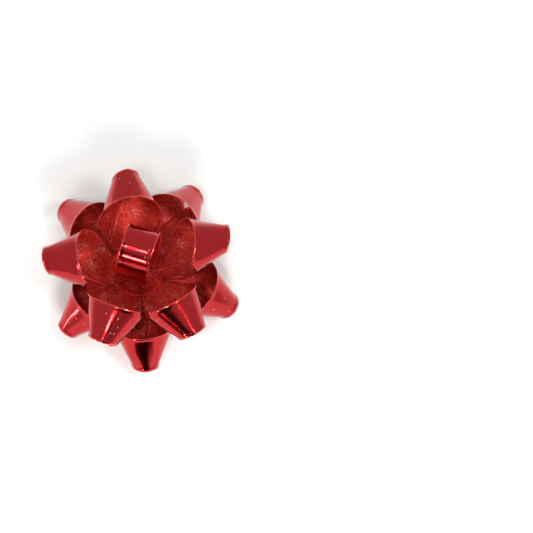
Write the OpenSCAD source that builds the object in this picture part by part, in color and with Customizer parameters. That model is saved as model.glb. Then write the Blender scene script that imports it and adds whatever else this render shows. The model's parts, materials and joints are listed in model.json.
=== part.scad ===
// Star gift bow of metallised film ribbon: two tiers of five pointed loops round an
// upright centre loop, stapled through a card disc that carries a foam adhesive pad.
// Millimetres, +Z up, origin on the bow's axis at the underside of the peel-off liner.

/* [Ribbon] */
// Width of the ribbon
ribbon_w = 6; // [4:0.5:9]
// Thickness of the ribbon film
film_t = 0.12; // [0.08:0.01:0.2]

/* [Pointed loops] */
// Sine of the half angle of the cone that each loop is rolled into
cone_sin = 0.38; // [0.34:0.01:0.42]
// Distance along the cone from its tip to the outer edge of the ribbon, upper tier
upper_nose = 4.2; // [3:0.1:6]
// Distance along the cone from its tip to the outer edge of the ribbon, lower tier
lower_nose = 4.2; // [3:0.1:6]
// How far forward of a plain roll the two legs are drawn where they cross
leg_forward = 5.6; // [4:0.2:6]
// How much wider than a round cone each loop is pressed
flatten = 1.08; // [1:0.02:1.16]
// Extra tilt of the whole upper tier, in degrees
upper_lift = 0; // [-3:0.5:6]
// Extra tilt of the whole lower tier, in degrees
lower_lift = 0; // [-3:0.5:3]
// Clear gap between neighbouring loops of one tier
loop_gap = 0.3; // [0.2:0.05:0.8]

/* [Centre] */
// Radius of the stapled middle, where the crossing lengths of ribbon lie on each other
stack_r = 4.2; // [3.6:0.1:5.5]
// Clear gap between the stapled middle and the root of each loop
root_gap = 0.3; // [0.2:0.05:0.6]
// Radius of the flat middle of the upper crossings, inside their upturned ends
flat_r = 2.9; // [2.6:0.1:3.4]
// Height that the upper crossings rise from their flat middle to their ends
upturn = 1.6; // [1.3:0.1:2.2]
// Width of the ribbon at the centre loop, where its edges are rolled in
centre_band = 5; // [3.5:0.5:8]
// Outer width of the centre loop, seen from its open end
centre_w = 8.4; // [6:0.2:10]
// Height of the centre loop above the stack
centre_h = 11; // [8:0.5:14]
// Direction that the open end of the centre loop faces, in degrees
centre_turn = -18; // [-45:1:45]
// Angle that the centre loop leans back, in degrees
centre_lean = 8; // [4:0.5:10]

/* [Staple] */
// Width across the crown of the staple
crown_w = 3.6; // [3:0.1:4.6]
// Thickness of the staple wire
wire_t = 0.4; // [0.3:0.05:0.6]

/* [Backing] */
// Diameter of the card disc
card_d = 10; // [8.4:0.2:14]
// Thickness of the card disc
card_t = 0.5; // [0.3:0.1:1]
// Diameter of the foam adhesive pad
pad_d = 9; // [7:0.2:12]
// Thickness of the foam adhesive pad
pad_t = 1.5; // [1:0.1:3]
// Thickness of the peel-off liner
liner_t = 0.1; // [0.08:0.01:0.2]
// How far the liner's peel tab reaches past the pad
tab_l = 2.4; // [1:0.1:5]

/* [Hidden] */
$fn = 96;

ribbon_red = "firebrick";

// Each loop is rolled by hand, so each has its own direction, tilt and twist, in degrees,
// counted anticlockwise from +X, and its own share added to the nose distance.
upper_az    = [13, 97, 180, 248, 306];
upper_tilt  = [2, 0, -2, -3, -5];
upper_twist = [30, -20, -12, -6, 12];
upper_roll  = [0.5, 0, 0, 0.2, 0.3];
lower_az    = [56, 136, 219, 275, 340];
lower_tilt  = [-22, -22, -29, -29, -28];
lower_twist = [-5, -5, 5, 2, -3];
lower_roll  = [0.1, -0.1, -0.8, -0.2, 0];

cone_half = asin(cone_sin);
// angle in the flat ribbon that rolls up to half a turn of the cone
half_wrap = 180 * cone_sin;
loop_steps = 72;
// the most that a loop springs up or down, in degrees
loop_swing = 6;
// the two legs of a loop lie on each other, this far apart between their middles
leg_lap = film_t + 0.08;

root_r = stack_r + root_gap;
pad_z = liner_t;
card_z = pad_z + pad_t;
stack_z = card_z + card_t;
ply_count = 5;
upper_z = stack_z + ply_count * film_t;
centre_z = upper_z + ply_count * film_t;
crown_z = centre_z + film_t;
lower_root_z = stack_z + ply_count * film_t / 2;
upper_root_z = centre_z + upturn;

leg_x = (crown_w - wire_t) / 2;
slot_t = wire_t + 0.1;
clinch_l = leg_x - 0.3;
hollow_z = card_z - wire_t - 0.1;

// --- pointed loops -------------------------------------------------------------------

function turn_az(a) = [-sin(a), cos(a), 0];

// neighbours in the same tier, as angles on either side of loop i
function left_az(list, i) = i < len(list) - 1 ? list[i + 1] : list[0] + 360;
function right_az(list, i) = i > 0 ? list[i - 1] : list[len(list) - 1] - 360;

// distance along a ruling line from the tip, at which it meets the neighbour's side: a
// plane through the bow's axis, leaning so that loops which spring up don't meet
function to_plane(tip, dir, normal, root_z) =
    let (n = normal + [0, 0, sin(loop_swing) * 0.7],
         slope = n * dir,
         start = n * (tip - [0, 0, root_z]))
    slope > 0 ? (-loop_gap / 2 - start) / slope : 1000;

// the same, at which it meets the upright cylinder of the loop roots
function to_root(tip, dir) =
    let (a = dir[0] * dir[0] + dir[1] * dir[1],
         b = tip[0] * dir[0] + tip[1] * dir[1],
         c = tip[0] * tip[0] + tip[1] * tip[1] - root_r * root_r,
         d = b * b - a * c)
    d > 0 ? (-b - sqrt(d)) / a : 1000;

// A ribbon rolled round a cone whose tip points outwards. Every ruling line of the cone
// runs from the ribbon's outer edge to its inner edge, or to the neighbour or the root.
module pointed_loop(az, az_left, az_right, tilt, twist, nose, root_z) {
    axis = [cos(az) * cos(tilt), sin(az) * cos(tilt), sin(tilt)];
    side = turn_az(az);
    top = cross(axis, side);
    up = top * cos(twist) + side * sin(twist);
    left = side * cos(twist) - top * sin(twist);

    mid = nose + ribbon_w / 2;
    foot = tilt + cone_half;
    full_l = mid / cos(half_wrap);
    leg_l = full_l - root_r / cos(foot);
    tip = [root_r * cos(az), root_r * sin(az), root_z]
        + leg_l * (axis * cos(cone_half) + top * sin(cone_half) * (2 - flatten));
    wrap = acos(nose / (leg_l + leg_forward * 0.9));

    left_n = turn_az((az + az_left) / 2);
    right_n = -turn_az((az + az_right) / 2);

    rules = [for (i = [0 : loop_steps])
        let (phi = wrap * (2 * i / loop_steps - 1),
             psi = phi / cone_sin,
             out = up * cos(psi) * (2 - flatten) + left * sin(psi) * flatten,
             face = up * cos(psi) * flatten + left * sin(psi) * (2 - flatten),
             dir = out * cone_sin - axis * cos(cone_half),
             normal = face * cos(cone_half) + axis * cone_sin,
             drawn = cos(psi) < 0 ? leg_forward * (1 - abs(sin(psi))) : 0,
             start = nose / cos(phi) - drawn,
             edge = (nose + ribbon_w) / cos(phi) - drawn,
             end = min(edge, to_root(tip, dir), to_plane(tip, dir, left_n, root_z),
                       to_plane(tip, dir, right_n, root_z)),
             lift = normal * leg_lap / 2 * phi / half_wrap)
        [tip + dir * min(start, end - 0.1) + lift, tip + dir * end + lift, normal]];
    half = film_t / 2;
    points = [for (r = rules) each [r[0] + r[2] * half, r[1] + r[2] * half,
                                    r[1] - r[2] * half, r[0] - r[2] * half]];
    walls = [for (i = [0 : loop_steps - 1], k = [0 : 3])
        let (a = 4 * i + k, b = 4 * i + (k + 1) % 4)
        each [[a, b, b + 4], [a, b + 4, a + 4]]];
    last = 4 * loop_steps;
    color(ribbon_red)
        polyhedron(points, concat(walls, [[3, 2, 1, 0]],
                                  [[last, last + 1, last + 2, last + 3]]));
}

module upper_loop(i) {
    pointed_loop(upper_az[i], left_az(upper_az, i), right_az(upper_az, i),
                 upper_tilt[i] + upper_lift, upper_twist[i], upper_nose + upper_roll[i],
                 upper_root_z);
}

module lower_loop(i) {
    pointed_loop(lower_az[i], left_az(lower_az, i), right_az(lower_az, i),
                 lower_tilt[i] + lower_lift, lower_twist[i], lower_nose + lower_roll[i],
                 lower_root_z);
}

// --- stapled middle ------------------------------------------------------------------

// two slots that the staple's legs pass through
module leg_slots(z, t) {
    rotate(centre_turn)
        for (s = [-1, 1])
            translate([s * leg_x - slot_t / 2, -slot_t / 2, z - 0.01])
                cube([slot_t, slot_t, t + 0.02]);
}

// a crossing length of ribbon, flat, with round ends
module flat_ply(az, z) {
    color(ribbon_red)
        difference() {
            intersection() {
                translate([0, 0, z]) cylinder(r = stack_r, h = film_t);
                rotate(az)
                    translate([-stack_r - 1, -ribbon_w / 2, z - 1])
                        cube([2 * stack_r + 2, ribbon_w, film_t + 2]);
            }
            leg_slots(z, film_t);
        }
}

// a crossing length whose ends turn up towards the upper loops
module dished_ply(az, z) {
    slant = (stack_r - flat_r) / upturn;
    color(ribbon_red)
        difference() {
            intersection() {
                rotate_extrude()
                    polygon([[0, z], [flat_r, z], [stack_r, z + upturn],
                             [stack_r, z + upturn + film_t], [flat_r, z + film_t],
                             [0, z + film_t]]);
                rotate(az)
                    translate([-stack_r - 1, -ribbon_w / 2, z - 1])
                        cube([2 * stack_r + 2, ribbon_w, upturn + film_t + 2]);
            }
            leg_slots(z, film_t);
        }
}

// the ribbon steps two fifths of a turn from each loop to the next one wound
module upper_ply(i) {
    dished_ply(upper_az[0] + 18 + i * 144, upper_z + i * film_t);
}

module lower_ply(i) {
    flat_ply(lower_az[0] + 18 + i * 144, stack_z + i * film_t);
}

module centre_ply() {
    color(ribbon_red)
        difference() {
            rotate(centre_turn)
                translate([-centre_band / 2, -1.2, centre_z])
                    cube([centre_band, 2.4, film_t]);
            leg_slots(centre_z, film_t);
        }
}

// --- centre loop ---------------------------------------------------------------------

centre_foot = 0.25;
centre_steps = 48;
centre_wrap = 158;

// the centre loop's profile: an oval standing on its lower end, open at the staple
function centre_point(a, inset) =
    [(centre_w / 2 - inset) * sin(a) * (0.88 + 0.12 * cos(a)),
     centre_h / 2 + (centre_h / 2 - inset) * cos(a)];

module centre_loop() {
    angles = [for (i = [0 : centre_steps])
        centre_wrap * (2 * i / centre_steps - 1)];
    outer = [for (a = angles) centre_point(a, 0)];
    inner = [for (i = [centre_steps : -1 : 0]) centre_point(angles[i], film_t)];
    color(ribbon_red)
        translate([0, 0, centre_z + film_t])
            rotate([0, 0, centre_turn])
                rotate([-centre_lean, 0, 0])
                    rotate([90, 0, 90])
                        translate([0, centre_foot, -centre_band / 2])
                            linear_extrude(centre_band)
                                polygon(concat(outer, inner));
}

// --- fastening and backing -----------------------------------------------------------

module staple() {
    leg_h = crown_z - hollow_z;
    color("silver")
        rotate(centre_turn) {
            translate([-crown_w / 2, -wire_t / 2, crown_z])
                cube([crown_w, wire_t, wire_t]);
            for (s = [-1, 1]) {
                translate([s * leg_x - wire_t / 2, -wire_t / 2, card_z - wire_t])
                    cube([wire_t, wire_t, crown_z + wire_t - card_z + wire_t]);
                translate([s * leg_x - (s > 0 ? clinch_l : 0), -wire_t / 2,
                           card_z - wire_t])
                    cube([clinch_l, wire_t, wire_t]);
            }
        }
}

module backing_card() {
    color("ivory")
        difference() {
            translate([0, 0, card_z]) cylinder(d = card_d, h = card_t);
            leg_slots(card_z, card_t);
        }
}

module foam_pad() {
    hollow_l = crown_w + 0.4;
    hollow_w = wire_t + 0.4;
    color("whitesmoke")
        difference() {
            translate([0, 0, pad_z]) cylinder(d = pad_d, h = pad_t);
            rotate(centre_turn)
                translate([-hollow_l / 2, -hollow_w / 2, hollow_z])
                    cube([hollow_l, hollow_w, pad_t]);
        }
}

module peel_liner() {
    color("wheat")
        linear_extrude(liner_t) {
            circle(d = pad_d);
            translate([-1.5, 0]) square([3, pad_d / 2 + tab_l - 1.5]);
            translate([0, pad_d / 2 + tab_l - 1.5]) circle(r = 1.5);
        }
}

upper_loop(0);  // upper_loop_1
upper_loop(1);  // upper_loop_2
upper_loop(2);  // upper_loop_3
upper_loop(3);  // upper_loop_4
upper_loop(4);  // upper_loop_5
lower_loop(0);  // lower_loop_1
lower_loop(1);  // lower_loop_2
lower_loop(2);  // lower_loop_3
lower_loop(3);  // lower_loop_4
lower_loop(4);  // lower_loop_5
centre_loop();
centre_ply();
upper_ply(0);  // upper_ply_1
upper_ply(1);  // upper_ply_2
upper_ply(2);  // upper_ply_3
upper_ply(3);  // upper_ply_4
upper_ply(4);  // upper_ply_5
lower_ply(0);  // lower_ply_1
lower_ply(1);  // lower_ply_2
lower_ply(2);  // lower_ply_3
lower_ply(3);  // lower_ply_4
lower_ply(4);  // lower_ply_5
staple();
backing_card();
foam_pad();
peel_liner();
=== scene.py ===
import bpy, bmesh, json
from math import acos, asin, atan2, cos, degrees, hypot, pi, radians, sin, sqrt
from mathutils import Matrix, Vector, noise


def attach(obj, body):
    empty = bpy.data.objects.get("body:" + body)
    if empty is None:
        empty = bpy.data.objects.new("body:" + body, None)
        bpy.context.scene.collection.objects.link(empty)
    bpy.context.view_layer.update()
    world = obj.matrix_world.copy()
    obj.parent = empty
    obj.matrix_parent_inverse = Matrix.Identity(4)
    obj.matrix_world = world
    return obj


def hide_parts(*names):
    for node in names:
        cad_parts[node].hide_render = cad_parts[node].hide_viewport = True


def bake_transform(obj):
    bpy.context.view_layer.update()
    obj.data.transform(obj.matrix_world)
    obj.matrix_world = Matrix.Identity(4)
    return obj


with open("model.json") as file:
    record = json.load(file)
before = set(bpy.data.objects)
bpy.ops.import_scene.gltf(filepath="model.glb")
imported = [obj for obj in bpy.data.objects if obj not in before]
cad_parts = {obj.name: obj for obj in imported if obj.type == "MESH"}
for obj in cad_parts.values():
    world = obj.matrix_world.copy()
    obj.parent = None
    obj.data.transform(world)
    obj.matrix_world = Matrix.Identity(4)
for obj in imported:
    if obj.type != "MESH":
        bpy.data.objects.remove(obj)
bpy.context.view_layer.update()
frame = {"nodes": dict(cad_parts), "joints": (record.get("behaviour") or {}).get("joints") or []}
scene = bpy.context.scene
mm = 0.001
print("scene: frame loaded")


def smooth(a, b, x):
    t = min(1, max(0, (x - a) / (b - a)))
    return t * t * (3 - 2 * t)


def fbm(point):
    return noise.noise(point) + 0.5 * noise.noise(point * 2.1)


def newMaterial(name):
    mat = bpy.data.materials.new(name)
    mat.use_nodes = True
    tree = mat.node_tree
    tree.nodes.clear()
    out = tree.nodes.new("ShaderNodeOutputMaterial")
    shader = tree.nodes.new("ShaderNodeBsdfPrincipled")
    tree.links.new(shader.outputs[0], out.inputs[0])
    return mat, tree, shader


def addMath(tree, operation, a, b):
    node = tree.nodes.new("ShaderNodeMath")
    node.operation = operation
    for socket, value in zip(node.inputs, (a, b)):
        if isinstance(value, (int, float)):
            socket.default_value = value
        else:
            tree.links.new(value, socket)
    return node.outputs[0]


def addMix(tree, factor, a, b):
    node = tree.nodes.new("ShaderNodeMix")
    node.data_type = "RGBA"
    tree.links.new(factor, node.inputs["Factor"])
    for socket, value in ((node.inputs[6], a), (node.inputs[7], b)):
        if isinstance(value, tuple):
            socket.default_value = (*value, 1)
        else:
            tree.links.new(value, socket)
    return node.outputs[2]


def startGroup(name, inputs, outputs):
    group = bpy.data.node_groups.new(name, "ShaderNodeTree")
    for label, value in inputs.items():
        socket = group.interface.new_socket(label, in_out="INPUT", socket_type="NodeSocketFloat")
        socket.default_value = value
    for label in outputs:
        group.interface.new_socket(label, in_out="OUTPUT", socket_type="NodeSocketFloat")
    return group, group.nodes.new("NodeGroupInput"), group.nodes.new("NodeGroupOutput")


def useGroup(tree, group, **values):
    node = tree.nodes.new("ShaderNodeGroup")
    node.node_tree = group
    for label, value in values.items():
        node.inputs[label].default_value = value
    return node


# small specks of dust, scattered thinly: a mask from 0 to 1
def makeDust():
    values = {"Amount": 0.02, "Size": 0.2, "Scale": 1500}
    group, start, end = startGroup("dustSpecks", values, ["Mask"])
    coords = group.nodes.new("ShaderNodeTexCoord")
    cells = group.nodes.new("ShaderNodeTexVoronoi")
    split = group.nodes.new("ShaderNodeSeparateColor")
    group.links.new(coords.outputs["Object"], cells.inputs["Vector"])
    group.links.new(start.outputs["Scale"], cells.inputs["Scale"])
    group.links.new(cells.outputs["Color"], split.inputs[0])
    drift = group.nodes.new("ShaderNodeTexNoise")
    drift.inputs["Scale"].default_value = 130
    group.links.new(coords.outputs["Object"], drift.inputs["Vector"])
    gathered = group.nodes.new("ShaderNodeMapRange")
    gathered.inputs["From Min"].default_value = 0.42
    gathered.inputs["From Max"].default_value = 0.62
    group.links.new(drift.outputs["Fac"], gathered.inputs["Value"])
    share = addMath(group, "MULTIPLY", start.outputs["Amount"], gathered.outputs[0])
    picked = addMath(group, "LESS_THAN", split.outputs[0], share)
    near = addMath(group, "LESS_THAN", cells.outputs["Distance"], start.outputs["Size"])
    group.links.new(addMath(group, "MULTIPLY", picked, near), end.inputs["Mask"])
    return group


# fine lines that the film picked up as it ran off its roll, lengthwise on the ribbon
def makeRollLines():
    group, start, end = startGroup("rollLines", {"Along": 20, "Across": 900}, ["Value"])
    uv = group.nodes.new("ShaderNodeUVMap")
    uv.uv_map = "ribbon"
    split = group.nodes.new("ShaderNodeSeparateXYZ")
    join = group.nodes.new("ShaderNodeCombineXYZ")
    lines = group.nodes.new("ShaderNodeTexNoise")
    lines.inputs["Scale"].default_value = 1
    lines.inputs["Detail"].default_value = 3
    group.links.new(uv.outputs[0], split.inputs[0])
    for axis, label in enumerate(("Along", "Across")):
        scaled = addMath(group, "MULTIPLY", split.outputs[axis], start.outputs[label])
        group.links.new(scaled, join.inputs[axis])
    group.links.new(join.outputs[0], lines.inputs["Vector"])
    group.links.new(lines.outputs["Fac"], end.inputs["Value"])
    return group


# a mask that is 1 along both cut edges of the ribbon, for a painted highlight: the edges lightened
# as if catching the light
def makeEdgeHighlightBand():
    group, start, end = startGroup("edgeHighlightBand", {"Width": 6, "Band": 0.2}, ["Mask"])
    uv = group.nodes.new("ShaderNodeUVMap")
    uv.uv_map = "ribbon"
    split = group.nodes.new("ShaderNodeSeparateXYZ")
    fade = group.nodes.new("ShaderNodeMapRange")
    fade.interpolation_type = "SMOOTHSTEP"
    fade.inputs["From Min"].default_value = 0
    fade.inputs["To Min"].default_value = 1
    fade.inputs["To Max"].default_value = 0
    group.links.new(uv.outputs[0], split.inputs[0])
    across = split.outputs[1]
    other = addMath(group, "SUBTRACT", start.outputs["Width"], across)
    group.links.new(addMath(group, "MINIMUM", across, other), fade.inputs["Value"])
    group.links.new(start.outputs["Band"], fade.inputs["From Max"])
    group.links.new(fade.outputs[0], end.inputs["Mask"])
    return group


dust = makeDust()
rollLines = makeRollLines()
edgeHighlightBand = makeEdgeHighlightBand()

filmLook = {
    "red": (0.50, 0.011, 0.014),
    "deepRed": (0.39, 0.007, 0.010),
    "gloss": 0.13,
    "lacquer": 0.42,
    "insideRed": (0.64, 0.045, 0.028),
    "insideDark": (0.42, 0.016, 0.011),
    # insideSheen: painted sheen, pale pink glints painted into the inner face's colour
    "insideSheen": (0.95, 0.30, 0.25),
    "insideGloss": 0.50,
    "insideMetal": 0.75,
    # edge: painted highlight, the bright red of cut edges catching the light
    "edge": (0.92, 0.09, 0.07),
    "edgeDark": (0.45, 0.05, 0.05),
    "speck": (0.7, 0.42, 0.42),
    "hazeRough": 0.10,    # how much the haze adds to the outer face's roughness
    "speckRough": 0.6,
    "coatRough": 0.03,
}


# the lacquered outer face: a red mirror, slightly hazed, with dust on it
def makeFilmOutside():
    look = filmLook
    mat, tree, shader = newMaterial("filmOutside")
    specks = useGroup(tree, dust, Amount=0.4, Size=0.12, Scale=1700)
    edgeHighlight = useGroup(tree, edgeHighlightBand, Width=6, Band=0.28)
    lines = useGroup(tree, rollLines, Along=0.25, Across=9.0)
    coords = tree.nodes.new("ShaderNodeTexCoord")
    haze = tree.nodes.new("ShaderNodeTexNoise")
    haze.inputs["Scale"].default_value = 380
    haze.inputs["Detail"].default_value = 4
    tree.links.new(coords.outputs["Object"], haze.inputs["Vector"])
    body = addMix(tree, haze.outputs["Fac"], look["deepRed"], look["red"])
    # painted highlight: the outer face lightened to bright red along its cut edges
    rimmed = addMix(tree, edgeHighlight.outputs["Mask"], body, look["edge"])
    dusty = addMix(tree, specks.outputs["Mask"], rimmed, look["speck"])
    tree.links.new(dusty, shader.inputs["Base Color"])
    rough = addMath(tree, "MULTIPLY_ADD", haze.outputs["Fac"], look["hazeRough"])
    rough.node.inputs[2].default_value = look["gloss"] - 0.04
    dull = addMath(tree, "MULTIPLY", specks.outputs["Mask"], look["speckRough"])
    tree.links.new(addMath(tree, "MAXIMUM", rough, dull), shader.inputs["Roughness"])
    bare = addMath(tree, "SUBTRACT", 1.0, specks.outputs["Mask"])
    tree.links.new(bare, shader.inputs["Metallic"])
    bump = tree.nodes.new("ShaderNodeBump")
    bump.inputs["Strength"].default_value = 0.10
    bump.inputs["Distance"].default_value = 0.02 * mm
    tree.links.new(lines.outputs["Value"], bump.inputs["Height"])
    tree.links.new(bump.outputs[0], shader.inputs["Normal"])
    shader.inputs["Coat Weight"].default_value = look["lacquer"]
    shader.inputs["Coat Roughness"].default_value = look["coatRough"]
    return mat


# the inner face, where the metal lies bare: duller, with a sparkling grain
def makeFilmInside():
    look = filmLook
    mat, tree, shader = newMaterial("filmInside")
    coords = tree.nodes.new("ShaderNodeTexCoord")
    grain = tree.nodes.new("ShaderNodeTexNoise")
    grain.inputs["Scale"].default_value = 3200
    grain.inputs["Detail"].default_value = 2
    cells = tree.nodes.new("ShaderNodeTexVoronoi")
    cells.inputs["Scale"].default_value = 4200
    split = tree.nodes.new("ShaderNodeSeparateColor")
    for node in (grain, cells):
        tree.links.new(coords.outputs["Object"], node.inputs["Vector"])
    tree.links.new(cells.outputs["Color"], split.inputs[0])
    shade = tree.nodes.new("ShaderNodeMapRange")
    shade.inputs["From Min"].default_value = 0.38
    shade.inputs["From Max"].default_value = 0.62
    tree.links.new(grain.outputs["Fac"], shade.inputs["Value"])
    patches = tree.nodes.new("ShaderNodeTexNoise")
    patches.inputs["Scale"].default_value = 520
    patches.inputs["Detail"].default_value = 3
    tree.links.new(coords.outputs["Object"], patches.inputs["Vector"])
    patchy = tree.nodes.new("ShaderNodeMapRange")
    patchy.inputs["From Min"].default_value = 0.52
    patchy.inputs["From Max"].default_value = 0.72
    tree.links.new(patches.outputs["Fac"], patchy.inputs["Value"])
    grained = addMix(tree, shade.outputs[0], look["insideDark"], look["insideRed"])
    # painted sheen: in patches of the grain the colour is lifted towards a pale pink, as if
    # glinting
    glint = addMath(tree, "MULTIPLY", patchy.outputs[0], shade.outputs[0])
    sheened = addMix(tree, addMath(tree, "MULTIPLY", glint, 0.55), grained, look["insideSheen"])
    edgeHighlight = useGroup(tree, edgeHighlightBand, Width=6, Band=0.34)
    # painted highlight: the inner face lightened to bright red along its cut edges
    rimmed = addMix(tree, edgeHighlight.outputs["Mask"], sheened, look["edge"])
    tree.links.new(rimmed, shader.inputs["Base Color"])
    fine = tree.nodes.new("ShaderNodeBump")
    fine.inputs["Strength"].default_value = 0.5
    fine.inputs["Distance"].default_value = 0.03 * mm
    tree.links.new(split.outputs[1], fine.inputs["Height"])
    broad = tree.nodes.new("ShaderNodeBump")
    broad.inputs["Strength"].default_value = 0.5
    broad.inputs["Distance"].default_value = 0.25 * mm
    tree.links.new(patches.outputs["Fac"], broad.inputs["Height"])
    tree.links.new(fine.outputs[0], broad.inputs["Normal"])
    tree.links.new(broad.outputs[0], shader.inputs["Normal"])
    shader.inputs["Metallic"].default_value = look["insideMetal"]
    shader.inputs["Roughness"].default_value = look["insideGloss"]
    return mat


def makeFilmEdge():
    mat, tree, shader = newMaterial("filmEdge")
    lines = useGroup(tree, rollLines, Along=3.0, Across=1.0)
    # the cut edge face, partly painted highlight: random lengthwise lines between a dark red and
    # the bright red of the painted edge highlight
    shade = addMix(tree, lines.outputs["Value"], filmLook["edgeDark"], filmLook["edge"])
    tree.links.new(shade, shader.inputs["Base Color"])
    shader.inputs["Metallic"].default_value = 0.8
    shader.inputs["Roughness"].default_value = 0.25
    return mat


film = [makeFilmOutside(), makeFilmInside(), makeFilmEdge()]
print("scene: film materials made")

ribbon = {
    "width": 6.0,         # mm, as all sizes here
    "thickness": 0.10,
    "coneSine": 0.38,
    "legLap": 0.2,
    "legForward": 5.6,    # how far forward of a plain roll the two legs cross
    "flatten": 1.08,      # how much wider than a round cone a loop is pressed
    "edgeCurl": 0.15,     # how far the cut edges curl outwards
    "edgeCurlWidth": 0.42,
    "curlRange": (6.5, 8.5),      # distances from the axis between which the curl sets in
    "ripple": 0.10,
    "rippleRange": (7, 10),
    "sinkRange": (2.9, 5.2),      # distances between which the sunk middle rises
    "cadRoot": 4.5,               # distance from the axis at which the CAD loops start
    "sideLean": 0.073,            # slope of the planes that part neighbouring loops
    "stepsAlong": 140,
    "stepsAcross": 16,
}
upperTier = {
    "body": "upper_loop_", "nose": [4.7, 4.2, 4.2, 4.4, 4.5], "tilt": [2, 0, -2, -3, -5],
    "twist": [30, -20, -12, -6, 12], "rootRadius": 1.2, "sink": 0.75, "gap": 0.1, "rest": 3.47,
}
lowerTier = {
    "body": "lower_loop_", "nose": [4.3, 4.1, 3.4, 4.0, 4.2], "tilt": [-22, -22, -29, -29, -28],
    "twist": [-5, -5, 5, 2, -3], "rootRadius": 4.25, "sink": 0.0, "gap": 0.3, "rest": 0.0,
}
joints = {j["child"]: j for j in frame["joints"]}


# a tier's loops leave the middle at their joints, so the joints give direction and height
def rootOf(name):
    x, y, z = [c / mm for c in joints[name]["pos_m"]]
    return degrees(atan2(y, x)) % 360, z


def planeStop(tip, direction, normal, rootZ, gap):
    lean = normal + Vector((0, 0, ribbon["sideLean"]))
    slope = lean.dot(direction)
    return (-gap / 2 - lean.dot(tip - Vector((0, 0, rootZ)))) / slope if slope > 1e-6 else 1e3


def rootStop(tip, direction, radius):
    a = direction.xy.dot(direction.xy)
    b = tip.xy.dot(direction.xy)
    d = b * b - a * (tip.xy.dot(tip.xy) - radius * radius)
    return (-b - sqrt(d)) / a if d > 0 else 1e3


# a flat strip is rolled round a cone whose tip points outwards, and its legs run in to the
# stapled middle
def rollLoop(tier, i):
    name = tier["body"] + str(i + 1)
    azimuth, rootZ = rootOf(name)
    others = [rootOf(tier["body"] + str(k + 1))[0] for k in range(5) if k != i]
    toLeft = min((a - azimuth) % 360 for a in others)
    toRight = min((azimuth - a) % 360 for a in others)
    side = lambda a: Vector((-sin(radians(a)), cos(radians(a)), 0))
    leftPlane, rightPlane = side(azimuth + toLeft / 2), -side(azimuth - toRight / 2)
    az, tilt, twist = radians(azimuth), radians(tier["tilt"][i]), radians(tier["twist"][i])
    axis = Vector((cos(az) * cos(tilt), sin(az) * cos(tilt), sin(tilt)))
    sideways = side(azimuth)
    top = axis.cross(sideways)
    up = top * cos(twist) + sideways * sin(twist)
    left = sideways * cos(twist) - top * sin(twist)
    half = asin(ribbon["coneSine"])
    halfWrap = pi * ribbon["coneSine"]
    nose = tier["nose"][i]
    cadRoot = ribbon["cadRoot"]
    legLength = (nose + ribbon["width"] / 2) / cos(halfWrap) - cadRoot / cos(tilt + half)
    squash, spread = 2 - ribbon["flatten"], ribbon["flatten"]
    tip = Vector((cadRoot * cos(az), cadRoot * sin(az), rootZ)) \
        + legLength * (axis * cos(half) + top * sin(half) * squash)
    reach = (cadRoot - tier["rootRadius"]) / cos(tilt + half)
    wrap = acos(nose / (legLength + reach + ribbon["legForward"] * 0.9))

    bm = bmesh.new()
    uv = bm.loops.layers.uv.new("ribbon")
    bmesh.ops.create_grid(bm, x_segments=ribbon["stepsAlong"],
                          y_segments=ribbon["stepsAcross"], size=1)
    flat = {}
    for vert in bm.verts:
        phi = vert.co.x * wrap
        t = vert.co.y / 2 + 0.5
        psi = phi / ribbon["coneSine"]
        out = up * cos(psi) * squash + left * sin(psi) * spread
        face = up * cos(psi) * spread + left * sin(psi) * squash
        direction = out * ribbon["coneSine"] - axis * cos(half)
        normal = face * cos(half) + axis * ribbon["coneSine"]
        drawn = ribbon["legForward"] * (1 - abs(sin(psi))) if cos(psi) < 0 else 0
        start = nose / cos(phi) - drawn
        end = min((nose + ribbon["width"]) / cos(phi) - drawn,
                  rootStop(tip, direction, tier["rootRadius"]),
                  planeStop(tip, direction, leftPlane, rootZ, tier["gap"]),
                  planeStop(tip, direction, rightPlane, rootZ, tier["gap"]))
        start = min(start, end - 0.1)
        r = start + (end - start) * t
        across = (r + drawn) * cos(phi) - nose
        edge = min(across, ribbon["width"] - across)
        along = hypot(*(tip + direction * r).xy)
        curl = ribbon["edgeCurl"] * (1 - smooth(0, ribbon["edgeCurlWidth"], edge)) \
            * smooth(*ribbon["curlRange"], along)
        ripple = ribbon["ripple"] * fbm(Vector((psi * 1.2, i * 7.3 + rootZ, r * 0.12))) \
            * smooth(*ribbon["rippleRange"], along)
        lap = ribbon["legLap"] / 2 * phi / halfWrap
        point = tip + direction * r + normal * (lap + curl + ripple)
        sunk = tier["sink"] * (1 - smooth(*ribbon["sinkRange"], point.xy.length))
        point.z = max(point.z - sunk, tier["rest"])
        flat[vert.index] = ((r + drawn) * sin(phi), across)
        vert.co = point * mm
    bm.verts.index_update()
    for face in bm.faces:
        face.smooth = True
        for loop in face.loops:
            loop[uv].uv = flat[loop.vert.index]
    bm.normal_update()
    crest = (tip + up * 2 - axis * 6) * mm
    middle = min(bm.faces, key=lambda f: (f.calc_center_median() - crest).length)
    if middle.normal.dot(up) < 0:
        bmesh.ops.reverse_faces(bm, faces=bm.faces[:])
    mesh = bpy.data.meshes.new(name + "_film")
    bm.to_mesh(mesh)
    bm.free()
    piece = bpy.data.objects.new(name + "_film", mesh)
    scene.collection.objects.link(piece)
    for mat in film:
        mesh.materials.append(mat)
    wall = piece.modifiers.new("wall", "SOLIDIFY")
    wall.thickness = ribbon["thickness"] * mm
    wall.offset = 0
    wall.use_even_offset = True
    wall.material_offset = 1
    wall.material_offset_rim = 2
    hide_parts(name)
    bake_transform(piece)
    return piece


for tier in (upperTier, lowerTier):
    for i in range(5):
        rollLoop(tier, i)
print("scene: ten pointed loops rolled")

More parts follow.
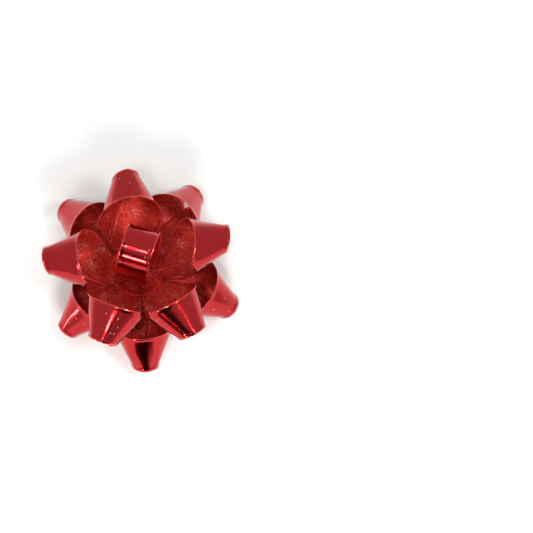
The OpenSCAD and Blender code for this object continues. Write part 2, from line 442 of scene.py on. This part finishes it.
centre = {
    "band": 5.0, "width": 8.4, "height": 11.0, "turn": -18, "lean": 8, "hinge": 3.42, "foot": 0.25,
    "wrap": 158, "steps": 96, "halfWall": 0.06,
}


# the upright loop: a strip bent round an oval, open at its foot where the staple sits
def bendCentreLoop():
    bm = bmesh.new()
    uv = bm.loops.layers.uv.new("ribbon")
    bmesh.ops.create_grid(bm, x_segments=centre["steps"],
                          y_segments=ribbon["stepsAcross"], size=1)
    turn = Matrix.Rotation(radians(centre["turn"]), 3, "Z") \
        @ Matrix.Rotation(radians(-centre["lean"]), 3, "X")
    stand = Vector((0, 0, centre["hinge"]))
    flat = {}
    for vert in bm.verts:
        a = radians(centre["wrap"]) * vert.co.x
        v = vert.co.y * centre["band"] / 2
        edge = centre["band"] / 2 - abs(v)
        grow = ribbon["edgeCurl"] * (1 - smooth(0, ribbon["edgeCurlWidth"], edge))
        y = -(centre["width"] / 2 + grow - centre["halfWall"]) * sin(a) * (0.88 + 0.12 * cos(a))
        z = centre["foot"] + centre["height"] / 2 \
            + (centre["height"] / 2 + grow - centre["halfWall"]) * cos(a)
        flat[vert.index] = (a * 5, v * ribbon["width"] / centre["band"] + ribbon["width"] / 2)
        vert.co = (stand + turn @ Vector((v, y, z))) * mm
    for face in bm.faces:
        face.smooth = True
        for loop in face.loops:
            loop[uv].uv = flat[loop.vert.index]
    bm.normal_update()
    highest = max(bm.faces, key=lambda f: f.calc_center_median().z)
    if highest.normal.z < 0:
        bmesh.ops.reverse_faces(bm, faces=bm.faces[:])
    mesh = bpy.data.meshes.new("centre_loop_film")
    bm.to_mesh(mesh)
    bm.free()
    piece = bpy.data.objects.new("centre_loop_film", mesh)
    scene.collection.objects.link(piece)
    for mat in film:
        mesh.materials.append(mat)
    wall = piece.modifiers.new("wall", "SOLIDIFY")
    wall.thickness = ribbon["thickness"] * mm
    wall.offset = 0
    wall.material_offset = 1
    wall.material_offset_rim = 2
    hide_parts("centre_loop")
    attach(piece, "centre_loop")


bendCentreLoop()
print("scene: centre loop bent")


def paintNode(name, mat):
    mesh = frame["nodes"][name].data
    mesh.materials.clear()
    mesh.materials.append(mat)


def makePlain(name, colour, dark, rough, metal, scale, bumpSize):
    mat, tree, shader = newMaterial(name)
    coords = tree.nodes.new("ShaderNodeTexCoord")
    grain = tree.nodes.new("ShaderNodeTexNoise")
    grain.inputs["Scale"].default_value = scale
    grain.inputs["Detail"].default_value = 5
    tree.links.new(coords.outputs["Object"], grain.inputs["Vector"])
    tree.links.new(addMix(tree, grain.outputs["Fac"], dark, colour), shader.inputs["Base Color"])
    bump = tree.nodes.new("ShaderNodeBump")
    bump.inputs["Strength"].default_value = 0.6
    bump.inputs["Distance"].default_value = bumpSize * mm
    tree.links.new(grain.outputs["Fac"], bump.inputs["Height"])
    tree.links.new(bump.outputs[0], shader.inputs["Normal"])
    shader.inputs["Metallic"].default_value = metal
    shader.inputs["Roughness"].default_value = rough
    return mat


for name in frame["nodes"]:
    if "_ply" in name:
        paintNode(name, film[1])
# material name, light and dark colour, roughness, metal, grain scale, and grain height in mm
backing = {
    "staple": ("stapleWire", (0.75, 0.75, 0.76), (0.5, 0.5, 0.52), 0.3, 1.0, 2000, 0.01),
    "backing_card": ("greyCard", (0.78, 0.74, 0.66), (0.6, 0.56, 0.5), 0.9, 0.0, 1500, 0.03),
    "foam_pad": ("whiteFoam", (0.92, 0.92, 0.9), (0.8, 0.8, 0.78), 0.85, 0.0, 3500, 0.06),
    "peel_liner": ("waxedLiner", (0.86, 0.8, 0.66), (0.8, 0.74, 0.6), 0.45, 0.0, 900, 0.01),
}
for name, look in backing.items():
    paintNode(name, makePlain(*look))
print("scene: backing painted")

view = {
    "elevation": 70,
    "distance": 350,
    "fieldWidth": 83.28,  # width of the view at the bow
    "aside": 20.23,       # how far right of the bow's axis the camera aims
    "above": 0.86,        # how far above it, across the view
    "targetZ": 4.0,
    "sensor": 36,
}


# the camera looks past the bow, which stands left of the middle of the frame
def makeCamera():
    el = radians(view["elevation"])
    target = Vector((0, 0, view["targetZ"]))
    back = Vector((0, -cos(el), sin(el)))
    upward = Vector((0, sin(el), cos(el)))
    right = Vector((1, 0, 0))
    aim = target + right * view["aside"] + upward * view["above"]
    place = target + back * view["distance"]
    camera = bpy.data.objects.new("camera", bpy.data.cameras.new("camera"))
    camera.data.sensor_width = view["sensor"]
    camera.data.lens = view["sensor"] * view["distance"] / view["fieldWidth"]
    camera.data.clip_start = 0.01
    camera.location = place * mm
    ahead = (aim - place).normalized()
    rightward = ahead.cross(upward).normalized()
    turn = Matrix((rightward, rightward.cross(ahead), -ahead)).transposed()
    camera.rotation_euler = turn.to_euler()
    scene.collection.objects.link(camera)
    scene.camera = camera


def areaLight(name, place, size, watts, colour=(1, 1, 1)):
    light = bpy.data.lights.new(name, "AREA")
    light.shape = "RECTANGLE"
    light.size, light.size_y = size[0] * mm, size[1] * mm
    light.energy = watts
    light.color = colour
    lamp = bpy.data.objects.new(name, light)
    lamp.location = Vector(place) * mm
    lamp.rotation_euler = (-Vector(place)).to_track_quat("-Z", "Y").to_euler()
    scene.collection.objects.link(lamp)
    return lamp


# a pale room, dark where the viewer stands in front, with lamps beside the viewer
studio = {
    "bright": 0.70,
    "dark": [(70, 9, 15), (14, 18, 44)],      # elevation and inner and outer radius, degrees
    "lamps": [                                # place and size in mm, watts, seen in mirrors
        ("topLamp", (-72, -170, 410), (60, 60), 0.36, True),
        ("rightLamp", (215, -95, 383), (90, 90), 0.45, True),
        ("frontLamp", (-175, -385, 145), (36, 50), 0.20, True),
        ("leftLamp", (-412, -180, 40), (40, 130), 0.30, True),
        ("softFront", (60, -400, 230), (130, 130), 1.7, False),
    ],
}


def makeStudio():
    bm = bmesh.new()
    bmesh.ops.create_grid(bm, x_segments=2, y_segments=2, size=1.5)
    mesh = bpy.data.meshes.new("floor")
    bm.to_mesh(mesh)
    bm.free()
    floor = bpy.data.objects.new("floor", mesh)
    scene.collection.objects.link(floor)
    mat, tree, shader = newMaterial("paleFloor")
    shader.inputs["Base Color"].default_value = (0.93, 0.925, 0.91, 1)
    shader.inputs["Roughness"].default_value = 0.9
    mesh.materials.append(mat)

    world = bpy.data.worlds.new("studio")
    world.use_nodes = True
    scene.world = world
    tree = world.node_tree
    background = tree.nodes["Background"]
    coords = tree.nodes.new("ShaderNodeTexCoord")
    levels = []
    for elevation, inner, outer in studio["dark"]:
        dot = tree.nodes.new("ShaderNodeVectorMath")
        dot.operation = "DOT_PRODUCT"
        el = radians(elevation)
        dot.inputs[1].default_value = (0, -cos(el), sin(el))
        level = tree.nodes.new("ShaderNodeMapRange")
        level.interpolation_type = "SMOOTHSTEP"
        level.inputs["From Min"].default_value = cos(radians(outer))
        level.inputs["From Max"].default_value = cos(radians(inner))
        level.inputs["To Min"].default_value = studio["bright"]
        level.inputs["To Max"].default_value = 0.02
        tree.links.new(coords.outputs["Generated"], dot.inputs[0])
        tree.links.new(dot.outputs["Value"], level.inputs["Value"])
        levels.append(level.outputs[0])
    background.inputs["Color"].default_value = (1, 1, 1, 1)
    tree.links.new(addMath(tree, "MINIMUM", *levels), background.inputs["Strength"])
    for name, place, size, watts, mirrored in studio["lamps"]:
        areaLight(name, place, size, watts).visible_glossy = mirrored


makeCamera()
makeStudio()
scene.view_settings.view_transform = "Standard"
scene.view_settings.look = "None"
print("scene: camera and lights set")
